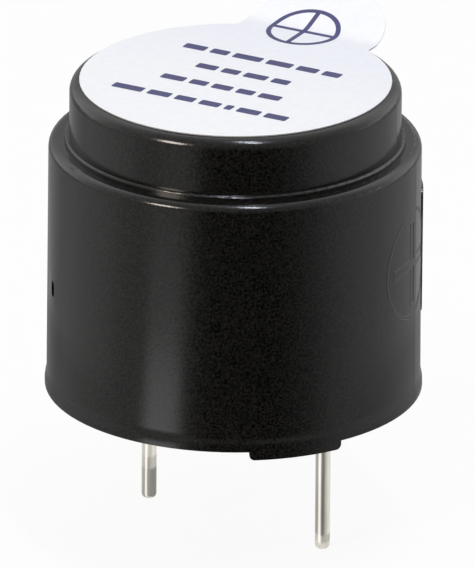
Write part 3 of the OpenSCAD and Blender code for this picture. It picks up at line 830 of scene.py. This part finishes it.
# %% Moulded dark grey PBT
ring_plastic, tree, place = blank_material("Moulded dark grey PBT")
flow = add(tree, "TexNoise", {"Vector": place, "Scale": 1 / (1.5 * MM), "Detail": 3.0})
dark_grey = add(tree, "ValToRGB", {"Fac": flow}, stops=[(0.3, "#2a2b2f"), (0.7, "#333439")])
dull = add(tree, "MapRange", {"Value": flow, "From Min": 0.3, "From Max": 0.7,
                              "To Min": 0.4, "To Max": 0.52})
add(tree, "OutputMaterial", {"Surface": add(tree, "BsdfPrincipled", {
    "Base Color": dark_grey, "Roughness": dull, "IOR": 1.55})})
coat(ring_plastic, "support_ring")

# %% Plastic-bonded ferrite
ferrite, tree, place = blank_material("Plastic-bonded ferrite")
powder = add(tree, "TexNoise", {"Vector": place, "Scale": 1 / (0.08 * MM), "Detail": 2.0})
speckled = add(tree, "ValToRGB", {"Fac": powder},
               stops=[(0.4, "#2f3033"), (0.62, "#3d3f43"), (0.7, "#55575b")])
dull = add(tree, "MapRange", {"Value": powder, "From Min": 0.3, "From Max": 0.7,
                              "To Min": 0.5, "To Max": 0.62})
bump = add(tree, "Bump", {"Height": powder, "Distance": 0.01 * MM, "Strength": 0.6})
add(tree, "OutputMaterial", {"Surface": add(tree, "BsdfPrincipled", {
    "Base Color": speckled, "Roughness": dull, "Normal": bump, "IOR": 1.7})})
coat(ferrite, "ring_magnet")

# %% [markdown]
# ## Circuit board and its parts
# The board is tan phenolic paper laminate, mottled by its paper fibres, with thin copper lands
# standing on its upper face. One material serves both: whatever is higher than the face is
# copper. The transistor and the diode are black epoxy with tinned leads, and the resistor is a
# white ceramic chip with tinned caps, and there too a place on the part tells the metal from the
# body.

# %% Phenolic laminate with copper lands
board_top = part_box("circuit_board")[1].z
land_t = 0.05 * MM
laminate, tree, place = blank_material("Phenolic paper laminate")
height = add(tree, "SeparateXYZ", {"Vector": place}).outputs["Z"]
is_land = add(tree, "Math", {0: height, 1: board_top - land_t / 2}, operation="GREATER_THAN")
fibre = add(tree, "TexNoise", {"Vector": place, "Scale": 1 / (0.3 * MM), "Detail": 4.0})
tan = add(tree, "ValToRGB", {"Fac": fibre}, stops=[(0.3, "#a97c3f"), (0.7, "#c09655")])
copper = add(tree, "ValToRGB", {"Fac": fibre}, stops=[(0.3, "#c07748"), (0.7, "#d08a5c")])
colour = add(tree, "Mix", {0: is_land, 6: tan, 7: copper}, data_type="RGBA").outputs[2]
dull = add(tree, "MapRange", {"Value": fibre, "From Min": 0.3, "From Max": 0.7,
                              "To Min": 0.42, "To Max": 0.56})
add(tree, "OutputMaterial", {"Surface": add(tree, "BsdfPrincipled", {
    "Base Color": colour, "Metallic": is_land, "Roughness": dull, "IOR": 1.52})})
coat(laminate, "circuit_board")


# %% Small parts with metal ends
def with_metal_ends(name, node, axis, body_half, body_stops):
    """A body with metal ends: metal wherever it is further than body_half from the middle."""
    low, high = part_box(node)
    material, tree, place = blank_material(name)
    spot = add(tree, "SeparateXYZ", {"Vector": place}).outputs[axis]
    off = add(tree, "Math", {0: spot, 1: (low[axis] + high[axis]) / 2}, operation="SUBTRACT")
    off = add(tree, "Math", {0: off}, operation="ABSOLUTE")
    is_metal = add(tree, "Math", {0: off, 1: body_half}, operation="GREATER_THAN")
    mottle = add(tree, "TexNoise", {"Vector": place, "Scale": 1 / (0.2 * MM), "Detail": 3.0})
    body = add(tree, "ValToRGB", {"Fac": mottle}, stops=body_stops)
    tin = add(tree, "ValToRGB", {"Fac": mottle}, stops=[(0.3, "#bfc1c3"), (0.7, "#d2d3d4")])
    colour = add(tree, "Mix", {0: is_metal, 6: body, 7: tin}, data_type="RGBA").outputs[2]
    dull = add(tree, "MapRange", {"Value": mottle, "From Min": 0.3, "From Max": 0.7,
                                  "To Min": 0.32, "To Max": 0.5})
    add(tree, "OutputMaterial", {"Surface": add(tree, "BsdfPrincipled", {
        "Base Color": colour, "Metallic": is_metal, "Roughness": dull, "IOR": 1.55})})
    coat(material, node)


black_epoxy = [(0.3, "#1c1d1f"), (0.7, "#252628")]
with_metal_ends("Black epoxy with tinned leads", "transistor", 1, 0.65 * MM, black_epoxy)
with_metal_ends("Black epoxy with tinned ends", "clamp_diode", 1, 1.35 * MM, black_epoxy)
with_metal_ends("Alumina chip with tinned caps", "base_resistor", 0, 0.65 * MM,
                [(0.3, "#e4e2da"), (0.7, "#eeece6")])
